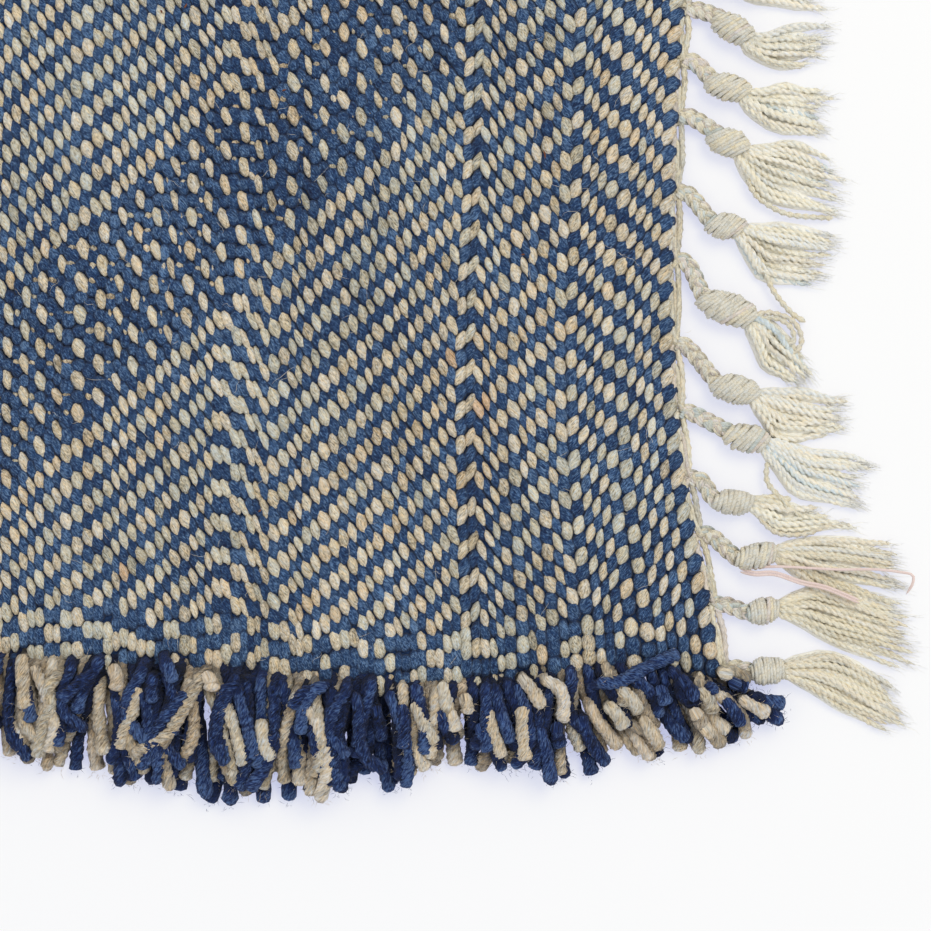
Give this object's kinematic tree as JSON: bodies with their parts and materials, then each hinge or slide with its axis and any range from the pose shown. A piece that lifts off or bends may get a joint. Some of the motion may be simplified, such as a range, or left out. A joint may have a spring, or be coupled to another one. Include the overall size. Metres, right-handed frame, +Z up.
{
  "type": "zanafi rug",
  "caption": "Flat hand-woven wool rug length with diagonal blue and cream stripes, a cut weft fringe along the front and plaited, knotted warp tassels at the right end.",
  "frame": {"origin": "on the flat underside, in the middle of the woven field", "axes": "+X along the warp to the tasselled end, +Y along the weft away from the fringed side, +Z up out of the face"},
  "size_m": [0.8819, 0.6363, 0.0095],
  "materials": {
    "weft_wool": "matte hand-spun wool, blue and cream wefts",
    "warp_wool": "matte plied wool, undyed pale cream"
  },
  "bodies": {
    "root": {"woven_field": "weft_wool", "warp_edge_cord": "warp_wool", "weft_fringe": "weft_wool", "tassel_01": "warp_wool", "tassel_02": "warp_wool", "tassel_03": "warp_wool", "tassel_04": "warp_wool", "tassel_05": "warp_wool", "tassel_06": "warp_wool", "tassel_07": "warp_wool", "tassel_08": "warp_wool", "tassel_09": "warp_wool", "tassel_10": "warp_wool", "tassel_11": "warp_wool", "tassel_12": "warp_wool", "tassel_13": "warp_wool", "tassel_14": "warp_wool", "tassel_15": "warp_wool", "tassel_16": "warp_wool", "tassel_17": "warp_wool", "tassel_18": "warp_wool", "tassel_19": "warp_wool", "tassel_20": "warp_wool", "tassel_21": "warp_wool", "tassel_22": "warp_wool", "tassel_23": "warp_wool", "tassel_24": "warp_wool", "tassel_25": "warp_wool", "tassel_26": "warp_wool"}
  },
  "joints": []
}
